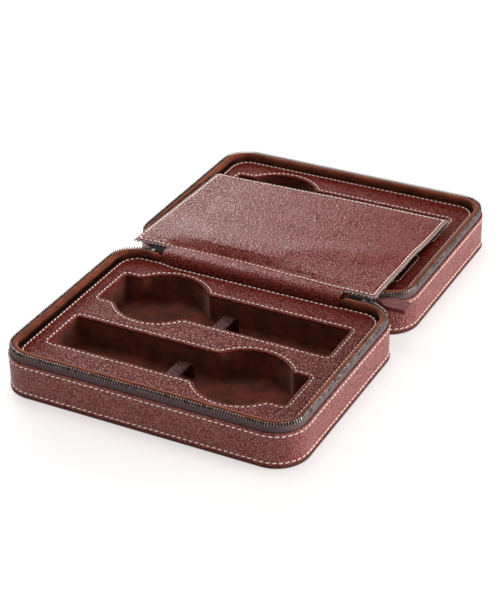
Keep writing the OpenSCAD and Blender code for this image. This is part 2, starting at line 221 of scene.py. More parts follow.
# ---- Outline of one half ----

def outline():
    """Points round the outer face of the base's wall, anticlockwise, with outward normals.
    The first point is on the spine side."""
    step, corner_steps = 2.0, 16
    half_l, half_d, r = CASE_L / 2, CASE_D / 2, CORNER_R
    points, normals = [], []
    for sx, sy, start in ((-1, 1, 90), (-1, -1, 180), (1, -1, 270), (1, 1, 0)):
        centre = np.array([sx * (half_l - r), MID_Y + sy * (half_d - r)])
        for a in np.radians(start + 90 * np.arange(corner_steps + 1) / corner_steps):
            n = np.array([math.cos(a), math.sin(a)])
            points.append(centre + r * n)
            normals.append(n)
        run = (CASE_D if sx * sy < 0 else CASE_L) - 2 * r
        count = int(run / step)
        ahead = np.array([-n[1], n[0]])
        points += [centre + r * n + ahead * run * i / count for i in range(1, count)]
        normals += [n] * (count - 1)
    return np.array(points), np.array(normals)


OUTLINE, OUTWARD = outline()
OUTLINE_RUN = run_of(OUTLINE)


def round_half(offset, z):
    """The outline moved outward by offset at height z, as 3-D points."""
    flat = OUTLINE + OUTWARD * np.asarray(offset, float).reshape(-1, 1)
    return np.column_stack([flat, np.broadcast_to(z, len(flat))])


def skin(name, grid, open_section=False, open_run=False):
    """A closed skin over a grid: grid[i][j] is point i of the section at step j along the run. An open
    section or run is capped at both of its ends."""
    grid = np.asarray(grid, float)
    m, n = grid.shape[:2]
    along = run_of(np.vstack([grid[0], grid[0, :1]]))
    across = run_of(np.vstack([grid[:, 0], grid[:1, 0]]))
    faces, uvs = [], []
    for i in range(m - open_section):
        k = (i + 1) % m
        for j in range(n - open_run):
            q = (j + 1) % n
            faces.append((i * n + j, k * n + j, k * n + q, i * n + q))
            uvs += [(along[j], across[i]), (along[j], across[i + 1]),
                    (along[j + 1], across[i + 1]), (along[j + 1], across[i])]
    if open_section:
        faces += [tuple(range(n))[::-1], tuple(range((m - 1) * n, m * n))]
        uvs += [(0, 0)] * (2 * n)
    if open_run:
        faces += [tuple(range(0, m * n, n))[::-1], tuple(range(n - 1, m * n, n))]
        uvs += [(0, v) for v in across[:-1]] * 2
    return face_outward(link_mesh(name, grid.reshape(-1, 3), faces, uvs))


def turn_to(points, sign):
    """Points of the base, or of the lid if sign is -1."""
    return np.asarray(points, float) * np.array([sign, sign, 1])


def bar_faces(rings, n):
    """Faces of a closed bar made of rings of n points: its two ends and the quads between."""
    faces = [tuple(range(n))[::-1], tuple((rings - 1) * n + k for k in range(n))]
    return faces + [(i * n + k, i * n + (k + 1) % n, (i + 1) * n + (k + 1) % n, (i + 1) * n + k)
                    for i in range(rings - 1) for k in range(n)]


def stamp(name, shape, shape_faces, places):
    """Copies of a shape as one mesh. A place is a point and what each of the shape's axes turns into."""
    verts, faces = [], []
    for p, x, y, z in places:
        faces += [tuple(len(verts) * len(shape) + i for i in f) for f in shape_faces]
        verts.append(p + shape[:, :1] * x + shape[:, 1:2] * y + shape[:, 2:] * z)
    return link_mesh(name, np.concatenate(verts), faces)


# ---- Thread ----

def stitch_shape(length, radius):
    """One stitch of two-ply thread along X that dips into the leather at both ends."""
    sides, rings = 8, 9
    verts = []
    for i in range(rings):
        a = -1 + 2 * i / (rings - 1)
        r = radius * (1 - 0.45 * a ** 6)
        lift = 0.55 * radius - 2.6 * radius * abs(a) ** 5
        for k in range(sides):
            phi = 2 * math.pi * k / sides
            ply = r * (1 + 0.14 * math.cos(2 * phi - 5.5 * a))
            verts.append((a * length / 2, ply * math.cos(phi), lift + ply * math.sin(phi)))
    return np.array(verts), bar_faces(rings, sides)


def resample(points, normals, pitch, closed):
    """Evenly spaced places on a polyline, with their headings and normals."""
    p = np.asarray(points, float)
    n = np.broadcast_to(np.asarray(normals, float), p.shape)
    if closed:
        p, n = np.vstack([p, p[:1]]), np.vstack([n, n[:1]])
    run = run_of(p)
    count = max(1, round(run[-1] / pitch))
    at = (np.arange(count) + 0.5) * run[-1] / count
    reach = 0.4
    heading = unit(along_run(at + reach, run, p) - along_run(at - reach, run, p))
    up = along_run(at, run, n)
    up = unit(up - heading * np.sum(up * heading, axis=1)[:, None])
    return along_run(at, run, p), heading, up


def sew(name, rows, size, body=None):
    """Every stitch of several rows as one piece. A row is its points, its normals or the one normal
    that they share, and whether it is closed. size is the stitches' pitch, length and radius."""
    pitch, length, radius = size
    slant, spread = math.radians(5), 0.03
    rng = np.random.default_rng(7)
    places = []
    for points, normals, closed in rows:
        for p, t, u in zip(*resample(points, normals, pitch, closed)):
            s = np.cross(u, t)
            a = slant + rng.normal(0, spread)
            stretch = 1 + rng.normal(0, spread)
            ahead = t * math.cos(a) + s * math.sin(a)
            places.append((p, stretch * ahead, s * math.cos(a) - t * math.sin(a), u))
    return dress(stamp(name, *stitch_shape(length, radius), places), THREAD, body)


# ---- Materials ----

class Shader:
    """A material under construction. Sockets that are the same all over take plain values."""

    def __init__(self, name, **constants):
        self.mat = bpy.data.materials.new(name)
        self.mat.use_nodes = True
        self.tree = self.mat.node_tree
        self.bsdf = self.tree.nodes["Principled BSDF"]
        for socket, value in constants.items():
            self.bsdf.inputs[socket.replace("_", " ")].default_value = value

    def node(self, kind, inputs=None, **settings):
        made = self.tree.nodes.new("ShaderNode" + kind)
        for key, value in settings.items():
            setattr(made, key, value)
        for key, value in (inputs or {}).items():
            if isinstance(value, bpy.types.NodeSocket):
                self.tree.links.new(value, made.inputs[key])
            else:
                made.inputs[key].default_value = value
        return made

    def link(self, socket, name):
        self.tree.links.new(socket, self.bsdf.inputs[name])

    def place(self):
        return self.node("TexCoord").outputs["Object"]

    def math(self, operation, a, b=0.0):
        return self.node("Math", {0: a, 1: b}, operation=operation).outputs[0]

    def plus(self, a, b):
        return self.math("ADD", a, b)

    def times(self, a, b):
        return self.math("MULTIPLY", a, b)

    def vector(self, operation, a, b):
        return self.node("VectorMath", {0: a, 1: b}, operation=operation).outputs[0]

    def ramp(self, value, low, high, to_low=0.0, to_high=1.0):
        """value taken smoothly from low..high to to_low..to_high."""
        return self.node("MapRange", {"Value": value, "From Min": low, "From Max": high,
                                      "To Min": to_low, "To Max": to_high},
                         interpolation_type="SMOOTHSTEP").outputs["Result"]

    def mix(self, share, a, b):
        return self.node("Mix", {0: share, 6: a, 7: b}, data_type="RGBA").outputs[2]

    def noise(self, vector, scale, detail=2.0, rough=0.5, output="Fac"):
        """Noise with about scale bumps to the metre."""
        return self.node("TexNoise", {"Vector": vector, "Scale": scale, "Detail": detail,
                                      "Roughness": rough}).outputs[output]

    def bump(self, height, strength, depth):
        """Relief on the surface. depth is in millimetres."""
        made = self.node("Bump", {"Height": height, "Strength": strength, "Distance": depth * MM})
        self.link(made.outputs["Normal"], "Normal")


def rgb(red, green, blue):
    """A colour given as 0-255 screen values, as the linear colour that a shader takes."""
    def linear(c):
        c /= 255
        return c / 12.92 if c <= 0.04045 else ((c + 0.055) / 1.055) ** 2.4
    return (linear(red), linear(green), linear(blue), 1)


def leather(name, body, crease, painted_light, pebble=1.5, stretch=(1, 1, 1), depth=0.3, roughness=0.4,
            gloss=0.8):
    """Milled leather: low glossy pebbles parted by dull creases that come and go, fine pores and
    mottling. stretch is how much longer the pebbles are along each axis."""
    s = Shader(name)
    at = s.place()
    drawn = s.vector("MULTIPLY", at, tuple(1 / k for k in stretch))
    warp = s.vector("SUBTRACT", s.noise(drawn, 420 / pebble, output="Color"), (0.5, 0.5, 0.5))
    bent = s.vector("ADD", drawn, s.vector("MULTIPLY", warp, (0.0012 * pebble,) * 3))
    cells = {"Vector": bent, "Scale": 1000 / pebble, "Randomness": 0.95}
    centre = s.node("TexVoronoi", cells).outputs["Distance"]
    edge = s.node("TexVoronoi", cells, feature="DISTANCE_TO_EDGE").outputs["Distance"]
    rolling = s.noise(drawn, 260 / pebble)
    pores = s.noise(at, 5200, 3.0, 0.6)
    mottle = s.noise(at, 48, 4.0, 0.6)
    patch = s.noise(at, 300, 3.0, 0.6)
    dome = s.ramp(centre, 0.9, 0.05)
    creased = s.times(s.ramp(edge, 0.26, 0.0), s.ramp(patch, 0.3, 0.6, 0.6, 1.0))
    height = s.math("SUBTRACT", s.times(dome, 0.55), s.times(creased, 0.5))
    height = s.plus(height, s.plus(s.times(rolling, 0.38), s.times(pores, 0.02)))
    # Painted highlight and shade: the pebble tops are painted lighter as a painted highlight, its share
    # varying at random with the mottling, and the creases are painted darker as painted shade.
    top_highlight = s.times(s.ramp(dome, 0.3, 0.9), s.ramp(mottle, 0.3, 0.75, 0.2, 0.7))
    shade = s.mix(s.times(creased, 0.9), s.mix(top_highlight, body, painted_light), crease)
    s.link(shade, "Base Color")
    s.link(s.ramp(creased, 0.0, 0.8, gloss, 0.2 * gloss), "Specular IOR Level")
    s.link(s.ramp(mottle, 0.2, 0.8, roughness + 0.05, roughness - 0.05), "Roughness")
    s.bump(height, 1.0, depth)
    return s.mat


def suede(name, body, dark, light, deep=None):
    """Brushed suede: short nap with a soft sheen and marks where it was stroked. deep is the pair of heights
    between which its nap turns from painted near black, as painted shade in the gap under the roll, to its
    full colour. Faces that point toward -Y are painted lighter all the way down, as painted light."""
    s = Shader(name, Roughness=0.92, Specular_IOR_Level=0.25, Sheen_Weight=0.45, Sheen_Roughness=0.4,
               Sheen_Tint=(0.9, 0.55, 0.4, 1))
    at = s.place()
    stroked = s.noise(at, 90, 3.0, 0.65)
    nap = s.noise(at, 1900, 4.0, 0.7)
    fibre = s.noise(at, 6500, 2.0, 0.6)
    shade = s.mix(s.ramp(stroked, 0.3, 0.7), dark, body)
    shade = s.mix(s.ramp(nap, 0.45, 0.75, 0.0, 0.6), shade, light)
    if deep:
        z = s.node("SeparateXYZ", {0: at}).outputs[2]
        toward = s.node("SeparateXYZ", {0: s.node("TexCoord").outputs["Normal"]}).outputs[1]
        # Painted shade and light: below deep the nap is painted near black, with less sheen and specular, as
        # painted shade in the gap under the roll; faces toward -Y are painted lighter all the way down, as
        # painted light.
        high = s.ramp(z, deep[0] * MM, deep[1] * MM)
        painted_light = s.math("MAXIMUM", high, s.ramp(toward, -0.25, -0.8, 0.0, 0.85))
        shade = s.mix(s.ramp(painted_light, 0.0, 1.0, 0.25, 1.0), rgb(20, 6, 3), shade)
        s.link(s.ramp(painted_light, 0.0, 1.0, 0.03, 0.45), "Sheen Weight")
        s.link(s.ramp(painted_light, 0.0, 1.0, 0.05, 0.25), "Specular IOR Level")
    s.link(shade, "Base Color")
    s.bump(s.plus(s.times(nap, 0.7), s.times(fibre, 0.5)), 0.55, 0.12)
    return s.mat


def woven(name, warp_c, weft_c):
    """Woven zip tape: a fine twill that follows the tape's own run."""
    s = Shader(name, Roughness=0.8, Specular_IOR_Level=0.3, Sheen_Weight=0.2, Sheen_Roughness=0.5)
    run = s.node("SeparateXYZ", {0: s.node("TexCoord").outputs["UV"]})
    u, v = run.outputs[0], run.outputs[1]
    pitch = 0.42
    turns = 2 * math.pi / (pitch * MM)
    rib = s.math("SINE", s.times(s.plus(u, s.times(v, 0.6)), turns))
    row = s.math("SINE", s.times(s.math("SUBTRACT", v, s.times(u, 0.15)), turns * 0.8))
    height = s.math("MAXIMUM", rib, row)
    fuzz = s.noise(s.place(), 3000, 3.0, 0.6)
    shade = s.mix(s.ramp(height, -0.5, 1.0), weft_c, warp_c)
    s.link(s.mix(s.times(fuzz, 0.3), shade, weft_c), "Base Color")
    s.bump(s.plus(height, fuzz), 0.6, 0.07)
    return s.mat


def thread(name, body, shadow):
    """Waxed sewing thread, a little dirty between its plies."""
    s = Shader(name, Roughness=0.62, Specular_IOR_Level=0.4, Sheen_Weight=0.25, Sheen_Roughness=0.4)
    at = s.place()
    fibre = s.noise(at, 4200, 3.0, 0.6)
    grime = s.noise(at, 70, 3.0, 0.6)
    shade = s.mix(s.ramp(fibre, 0.35, 0.7, 0.0, 0.35), body, shadow)
    s.link(s.mix(s.ramp(grime, 0.45, 0.8, 0.0, 0.45), shade, shadow), "Base Color")
    s.bump(fibre, 0.5, 0.06)
    return s.mat


def metal(name, bright, tarnish, roughness):
    """Gunmetal with patches of tarnish and fine handling marks."""
    s = Shader(name, Metallic=0.75)
    at = s.place()
    stain = s.noise(at, 420, 4.0, 0.65)
    marks = s.noise(at, 5000)
    s.link(s.mix(s.ramp(stain, 0.35, 0.7), bright, tarnish), "Base Color")
    s.link(s.ramp(marks, 0.3, 0.7, roughness - 0.08, roughness + 0.14), "Roughness")
    s.bump(marks, 0.25, 0.03)
    return s.mat


def raw_edge(name, body, fibre_c):
    """Cut edge of leather: matted fibres."""
    s = Shader(name, Roughness=0.85, Specular_IOR_Level=0.25, Sheen_Weight=0.2)
    fibre = s.noise(s.place(), 2600, 4.0, 0.75)
    s.link(s.mix(s.ramp(fibre, 0.35, 0.65), body, fibre_c), "Base Color")
    s.bump(fibre, 0.9, 0.2)
    return s.mat


def plain_stock(name, body, fleck, grain, depth):
    """Board or foam: a matt body with flecks or cells."""
    s = Shader(name, Roughness=0.9, Specular_IOR_Level=0.2)
    cells = s.node("TexVoronoi", {"Vector": s.place(), "Scale": grain}).outputs["Distance"]
    s.link(s.mix(s.ramp(cells, 0.1, 0.6), body, fleck), "Base Color")
    s.bump(cells, 0.6, depth)
    return s.mat


SHELL = leather("shell_leather", rgb(138, 62, 54), rgb(84, 32, 28), rgb(156, 80, 71), pebble=1.5,
                depth=0.32, roughness=0.36, gloss=0.8)
INSERT = leather("insert_leather", rgb(112, 37, 26), rgb(66, 16, 11), rgb(124, 49, 36), pebble=1.5,
                 stretch=(1, 1.6, 1), depth=0.24, roughness=0.42, gloss=0.12)
FLAP = leather("flap_leather", rgb(128, 49, 41), rgb(70, 16, 14), rgb(144, 64, 56), pebble=1.3,
               stretch=(1.6, 1.0, 1), depth=0.23, roughness=0.31, gloss=0.28)
KEEPER = leather("keeper_leather", rgb(68, 26, 18), rgb(38, 12, 9), rgb(84, 38, 28), pebble=0.9,
                 depth=0.1, roughness=0.5, gloss=0.25)
PULL = leather("pull_leather", rgb(112, 48, 48), rgb(78, 28, 29), rgb(128, 62, 62), pebble=0.7,
               depth=0.06, roughness=0.45, gloss=0.4)
# The lining's suede is painted near black low down, as painted shade in the gap under the roll, and lighter
# on faces toward -Y, as painted light.
SHADED_SUEDE = suede("suede", rgb(122, 54, 30), rgb(72, 26, 14), rgb(150, 80, 52), deep=(21.5, 26.4))
POCKET = suede("pocket_suede", rgb(104, 44, 32), rgb(60, 22, 16), rgb(126, 64, 49))
TAPE = woven("zip_tape", rgb(102, 74, 78), rgb(62, 43, 47))
# The cord along the tape's edge is painted near black, as painted shade between the teeth.
SHADED_CORD = woven("zip_cord_shaded", rgb(30, 20, 22), rgb(16, 10, 12))
# The tail's tape is a darker copy of the zip tape, as painted shade where the tail lies under the flap.
SHADED_TAIL = woven("zip_tail", rgb(50, 37, 39), rgb(28, 20, 22))
METAL = metal("zip_metal", rgb(150, 140, 134), rgb(60, 50, 50), roughness=0.34)
THREAD = thread("thread", rgb(255, 232, 220), rgb(222, 178, 164))
RAW = raw_edge("flap_raw_edge", rgb(120, 98, 94), rgb(180, 162, 156))
EDGE = raw_edge("painted_edge", rgb(62, 32, 28), rgb(84, 48, 42))
BOARD = plain_stock("board", rgb(168, 148, 120), rgb(120, 102, 80), 900, 0.1)
FOAM = plain_stock("foam", rgb(70, 66, 64), rgb(40, 38, 37), 1400, 0.3)


# ---- Walls ----

WALL_LIP = WALL_TOP - 1.3  # top of the leather along the zip; at the spine it is full height
STITCH_Z_TOP = WALL_LIP - 2.0
STITCH_Z_LOW = WALL_FOOT + 1.9
SEAM_DENT = 0.32  # how deep a row of stitches draws the wall's face in
SUNK = 0.3  # how far inside the wall's face its stitches run


def wall_profile():
    """Section of the side leather: a soft face drawn in along both rows of stitches. Each point is
    (offset, height, share), and share is how much of the rise at the spine it takes."""
    z0, z1 = WALL_FOOT, WALL_LIP
    outer = [(-0.35, z0 + 0.02, 0), (-0.08, z0 + 0.12, 0), (0.0, z0 + 0.35, 0)]
    for z in np.linspace(z0 + 0.6, z1 - 0.6, 40):
        dent = SEAM_DENT * sum(wave(z, row, GROOVE_W) for row in (STITCH_Z_TOP, STITCH_Z_LOW))
        outer.append((-dent, z, float(smoothstep(z, STITCH_Z_TOP + 0.4, z1))))
    outer += [(-0.05, z1 - 0.3, 1), (-0.2, z1 - 0.08, 1), (-0.42, z1, 1), (-0.8, z1, 1),
              (-1.05, z1 - 0.14, 1), (-SIDE_T, z1 - 0.45, 1)]
    inner = [(-SIDE_T, z, 0) for z in np.linspace(z1 - 4, z0 + 1, 4)]
    return outer + inner + [(-SIDE_T + 0.1, z0 + 0.02, 0)]


def side_wall(body, sign):
    """Leather round the side wall of one half, low along the zip and full height at the spine."""
    at_spine = (OUTLINE[:, 1] > REAR_Y - 1) * smoothstep(TAPE_END_X + 1.5 - np.abs(OUTLINE[:, 0]), 0, 2)
    rings = []
    for o, z, share in wall_profile():
        ring = round_half(o, z)
        ring[:, 2] += (WALL_TOP - WALL_LIP) * share * at_spine
        if o > -0.9:
            sway = ripple(ring, 26, 3 if sign > 0 else 4) * 0.16
            sway += ripple(ring, 7, 5) * 0.05
            ring[:, :2] -= OUTWARD * np.abs(sway)[:, None]
        rings.append(turn_to(ring, sign))
    dress(skin(f"{body}_side_wall", rings), SHELL, body, [f"{body}_side_leather"])


def cover(body, sign):
    """Panel that the half stands on, with its painted edge just proud of the wall."""
    top, lip = COVER_HI.z, COVER_HI.x - WALL_HI.x
    under = -4  # the ring of faces ends here and a flat cap closes it
    section = [(under, 0), (lip - 0.6, 0), (lip - 0.25, 0.1), (lip - 0.04, 0.35), (lip, 0.6),
               (lip, top - 0.6), (lip - 0.05, top - 0.3), (lip - 0.25, top - 0.06),
               (lip - 0.6, top), (under, top)]
    rings = [turn_to(round_half(o, z), sign) for o, z in section]
    obj = skin(f"{body}_cover_panel", rings, open_section=True)
    dress(obj, [SHELL, EDGE], body, [f"{body}_cover"])
    bare = 0.12  # the edge is painted but for so much at its top and foot
    for p in obj.data.polygons:
        painted = bare * MM < p.center.z < (top - bare) * MM and len(p.vertices) == 4
        p.material_index = int(painted)
    sharpen(obj, 50)


def points_where(keep):
    """The outline's points where keep holds, in order from one end of that stretch to the other."""
    start = int(np.argmax(keep & ~np.roll(keep, 1)))
    around = [k % len(OUTLINE) for k in range(start, start + len(OUTLINE))]
    return [k for k in around if keep[k]]


def wall_stitching(body, sign):
    """Both rows of stitches round the side wall. The upper row stops where the spine leather is sewn on."""
    out = turn_to(np.column_stack([OUTWARD, np.zeros(len(OUTWARD))]), sign)
    low, high = (turn_to(round_half(-SUNK, z), sign) for z in (STITCH_Z_LOW, STITCH_Z_TOP))
    order = points_where((np.abs(OUTLINE[:, 0]) > HINGE_HALF + 1) | (OUTLINE[:, 1] < REAR_Y - 1))
    rows = [(low, out, True), (high[order], out[order], False)]
    sew(f"{body}_wall_stitching", rows, WALL_STITCH, body)


# ---- Suede lining ----

ROLL_R = 1.75
ROLL_IN = 5.2  # inset of the roll's middle
ROLL_TOP = 27.9
ROLL_SHIFT = 1.1  # the roll sits this much further out along the two ends of the case
CREASE_PITCH = 4.3
SPINE_ROLL_TOP = LINING_TOP  # lower along the spine, where the gusset passes over it


def suede_section():
    """Section of the lining as (inset, height): an upright wall with a roll that hangs over it."""
    roll_z = ROLL_TOP - ROLL_R
    face = LINING_IN + LINING_T - 1.0
    foot = 3.0
    inner = [(face, z) for z in (foot, 8.0, 13.0, 17.0, 20.0, 22.0)]
    inner += [(face + 0.1, 23.0), (face + 0.6, 23.7)]
    roll = [(ROLL_IN + ROLL_R * math.cos(a), roll_z + ROLL_R * math.sin(a))
            for a in np.radians(np.linspace(-35, 200, 18))]
    outer = [(LINING_IN + 0.1, 24.2), (LINING_IN, 23.0), (LINING_IN, 12.0), (LINING_IN, foot)]
    return inner + roll + outer


def suede_ring(body, sign):
    """Padded suede round the inside of the wall, with a rolled top that creases in the corners."""
    in_corner = corner_share()
    at_spine = smoothstep(OUTLINE[:, 1], REAR_Y - 7, REAR_Y - 1)
    at_spine *= smoothstep(HINGE_HALF + 3.5 - np.abs(OUTLINE[:, 0] - sign * GUSSET_MID), 0, 3)
    outward = ROLL_SHIFT * end_share(OUTWARD)
    rings = []
    for inset, z in suede_section():
        low = at_spine * smoothstep(z, 20, ROLL_TOP)
        narrow = at_spine * smoothstep(z, 21, 23)
        ring = round_half(-(inset + (min(inset, LINING_IN + LINING_T) - inset) * narrow), z)
        near_top = smoothstep(z, 19, 24)
        facing = float(smoothstep(inset, 3.6, 5.2))
        ring[:, :2] += OUTWARD * (outward * smoothstep(z, 22, 25) * (1 - at_spine))[:, None]
        puff = 0.14 * ripple(ring, 16, 11 if sign > 0 else 12) + 0.05 * ripple(ring, 4, 13)
        crease = np.sin(OUTLINE_RUN * 2 * math.pi / CREASE_PITCH + 1.3 * ripple(ring, 9, 14))
        crease = 0.2 * in_corner * crease
        ring[:, :2] -= OUTWARD * (facing * (puff + crease * near_top) * (1 - at_spine))[:, None]
        ring[:, 2] -= (ROLL_TOP - SPINE_ROLL_TOP) * low
        ring[:, 2] += near_top * (0.16 * ripple(ring, 22, 15) - 0.1) * (1 - at_spine)
        rings.append(turn_to(ring, sign))
    obj = skin(f"{body}_suede_wall", rings)
    dress(obj, SHADED_SUEDE, body, [f"{body}_suede_lining"])


def end_share(out):
    """1 along the two ends of the case, 0 along its front and spine."""
    return smoothstep(np.abs(out[:, 0]), 0.35, 0.95)


def corner_share():
    """1 in the middle of each upright corner, 0 along the straight runs."""
    return smoothstep(1 - np.abs(np.abs(OUTWARD[:, 0]) - np.abs(OUTWARD[:, 1])), 0.0, 0.6)


# ---- Zip ----

def along_tape(s, lean):
    """Inset, height and slope of the tape's middle at length s above its bend, for a share of the lean."""
    bend = TAPE_LEAN * lean + 1e-6
    a = bend * np.clip(s / TAPE_BEND_L, 0, 1)
    radius = TAPE_BEND_L / bend
    inset = TAPE_MID + radius * (1 - np.cos(a))
    z = TAPE_BEND_Z + radius * np.sin(a) + np.minimum(s, 0)
    past = np.maximum(s - TAPE_BEND_L, 0)
    return inset + past * np.sin(a), z + past * np.cos(a), a


def tape_leaning(order, body):
    """How far the tape leans at each point: fully along the front, less along the ends of the case
    and not at all where it stops by the spine. The lid's stands straighter all round."""
    points = OUTLINE[order]
    at_rear = smoothstep(points[:, 1], REAR_Y - 8, REAR_Y - 3)
    leaning = 1 - END_UPRIGHT * end_share(OUTWARD[order])
    leaning = leaning * (1 - at_rear * smoothstep(-np.abs(points[:, 0]), -86, -74))
    return leaning * (LID_LEAN if body == "lid" else 1)


def zip_run():
    """Which of the outline's points the zip follows, in order."""
    return points_where((np.abs(OUTLINE[:, 0]) > TAPE_END_X) | (OUTLINE[:, 1] < REAR_Y - 3))


def tape_line(order, s, across, body):
    """Points along the tape at length s above its bend, moved across its face by across, inward."""
    flat, out = OUTLINE[order], OUTWARD[order]
    inset, z, slope = along_tape(s, tape_leaning(order, body))
    inset = inset + across * np.cos(slope)
    z = z - across * np.sin(slope)
    return np.column_stack([flat - out * np.broadcast_to(inset, len(flat))[:, None],
                            np.broadcast_to(z, len(flat))])


def tape_ring(body, sign):
    """Woven tape that stands above the wall, leans in and carries the teeth. Open along the spine."""
    order = zip_run()
    lengths = [*np.linspace(TAPE_FOOT - TAPE_BEND_Z, -0.6, 4), *np.linspace(0, TAPE_BEND_L - 0.3, 12)]
    section = [(s, -TAPE_HALF_T + (0.06 if k % 2 else 0.0)) for k, s in enumerate(lengths)]
    section += [(TAPE_BEND_L - 0.08, -0.22), (TAPE_BEND_L, 0), (TAPE_BEND_L - 0.08, 0.22)]
    section += [(s, TAPE_HALF_T) for s in lengths[::-2]]
    grid = np.array([turn_to(tape_line(order, s, v, body), sign) for s, v in section])
    tape = skin(f"{body}_tape", grid, open_run=True)
    quads = len(order) - 1
    # Faces past CORD_FROM take the cord's near black, as painted shade between the teeth.
    for k, face in enumerate(tape.data.polygons[:quads * len(section)]):
        face.material_index = int(section[k // quads][0] > CORD_FROM)
    dress(tape, [TAPE, SHADED_CORD], body, [f"{body}_zip_tape"])


def tooth_shape():
    """One tooth across the tape: jaws that grip its edge and a narrower head. Points and faces.
    The axes are along the chain, inward across the tape, and up from the tape's edge."""
    side = [(0.8, -0.95), (0.8, 0.1), (0.66, 0.4), (0.6, 1.15), (0.4, 1.45)]
    slot = TAPE_HALF_T + 0.03
    profile = [(slot, -1.05)] + side + [(-v, w) for v, w in side[::-1]]
    profile += [(-slot, -1.05), (-slot, 0.04), (slot, 0.04)]
    middle = np.mean(profile, axis=0)
    points = []
    for u, shrink in ((-0.5, 0.88), (-0.36, 1), (0.36, 1), (0.5, 0.88)):
        for q in profile:
            v, w = middle + (np.array(q) - middle) * (shrink if abs(q[0]) > slot else 1)
            points.append((u * TOOTH_T, v, w))
    return np.array(points), bar_faces(4, len(profile))


def teeth_chain(body, sign):
    """Every tooth of one half. The row starts a quarter of a pitch off the middle of the front, so
    that the other half's row, which is the same one turned round, falls in its gaps."""
    order = zip_run()
    edge = tape_line(order, TAPE_BEND_L, 0, body)
    run = run_of(edge)
    front = np.flatnonzero((edge[:, 1] < MID_Y) & (np.abs(OUTWARD[order][:, 0]) < 0.01))
    middle = float(np.interp(0, edge[front, 0], run[front]))
    count = int(middle / TOOTH_PITCH) + 1
    at = middle + (np.arange(-count, count) + 0.25) * TOOTH_PITCH
    at = at[(at > TEETH_FROM_END) & (at < run[-1] - TEETH_FROM_END)]
    out = along_run(at, run, np.column_stack([OUTWARD[order], np.zeros(len(order))]))
    slope = TAPE_LEAN * np.interp(at, run, tape_leaning(order, body))
    up = np.array([0, 0, 1])
    places = []
    for p, o, a in zip(along_run(at, run, edge), unit(out), slope):
        inward = -o * math.cos(a) - up * math.sin(a)
        rise = up * math.cos(a) - o * math.sin(a)
        places.append(turn_to([p, (-o[1], o[0], 0), inward, rise], sign))
    obj = face_outward(stamp(f"{body}_teeth", *tooth_shape(), places))
    sharpen(obj, 30)
    dress(obj, METAL, body, [f"{body}_zip_teeth"])


# ---- Insert and pockets ----

def pocket_ring(grow, which):
    """Outline of one of the base's pockets, grown by grow, with the same points at any growth."""
    r, h, f = HEAD_R + grow, POCKET_HALF_W + grow, EASE_R - grow
    length, c = POCKET_HALF_L + grow, POCKET_CORNER_R + grow
    reach = math.sqrt((r + f) ** 2 - (h + f) ** 2)
    meet = math.degrees(math.atan2(h + f, reach))

    def arc(cx, cy, radius, start, end, steps):
        return [(cx + radius * math.cos(a), cy + radius * math.sin(a))
                for a in np.radians(np.linspace(start, end, steps + 1))]

    def line(p, q, steps):
        return [tuple(np.array(p) + (np.array(q) - p) * i / steps) for i in range(1, steps)]

    def ease(cx, start, end):
        return arc(cx, h + f, f, start, end, 6)

    upper = arc(length - c, h - c, c, 0, 90, 5)
    side_r = ease(HEAD_X + reach, 270, 180 + meet)
    side_l = ease(HEAD_X - reach, -meet, -90)
    upper += line(upper[-1], side_r[0], 4) + side_r
    upper += arc(HEAD_X, 0, r, meet, 180 - meet, 22)[1:-1] + side_l
    end = arc(-length + c, h - c, c, 90, 180, 5)
    upper += line(side_l[-1], end[0], 40) + end
    lower = [(x, -y) for x, y in upper[::-1]]
    ring = upper + line(upper[-1], lower[0], 12) + lower + line(lower[-1], upper[0], 12)
    return np.array(ring) * POCKET_TURN[which] + np.array([0, POCKET_Y[which]])


def at_height(flat, z):
    return np.column_stack([flat, np.full(len(flat), z)])


def inside(points, ring):
    """Whether each 2-D point is inside a closed polygon."""
    x, y = points[:, :1], points[:, 1:2]
    x0, y0 = ring[:, 0], ring[:, 1]
    x1, y1 = np.roll(x0, -1), np.roll(y0, -1)
    crosses = ((y0 > y) != (y1 > y)) & (x < (x1 - x0) * (y - y0) / (y1 - y0 + 1e-12) + x0)
    return crosses.sum(axis=1) % 2 == 1


def clear_of(points, outer, holes):
    """Whether each 2-D point is inside outer and outside every hole."""
    return inside(points, outer) & ~np.any([inside(points, h) for h in holes] or [False], axis=0)


def fill_between(outer, holes, spacing):
    """Triangles over the flat area inside outer and outside the holes: (points, faces).
    The rings' own points come first, in order. Without a spacing there are no others."""
    points = np.vstack([outer, *holes])
    edges, base = [], 0
    for ring in [outer, *holes]:
        edges += [(base + i, base + (i + 1) % len(ring)) for i in range(len(ring))]
        base += len(ring)
    if spacing:
        xs = np.arange(outer[:, 0].min(), outer[:, 0].max(), spacing)
        ys = np.arange(outer[:, 1].min(), outer[:, 1].max(), spacing * 0.87)
        grid = np.array([(x + spacing / 2 * (j % 2), y) for j, y in enumerate(ys) for x in xs])
        grid = grid[clear_of(grid, outer, holes)]
        apart = [np.min(np.linalg.norm(points - p, axis=1)) > spacing * 0.5 for p in grid]
        points = np.vstack([points, grid[apart]])
    made = delaunay_2d_cdt([Vector(p) for p in points], edges, [], 0, 1e-7)
    flat = np.array([tuple(v) for v in made[0]])
    centres = np.array([flat[list(f)].mean(axis=0) for f in made[2]])
    return flat, [tuple(f) for f, good in zip(made[2], clear_of(centres, outer, holes)) if good]


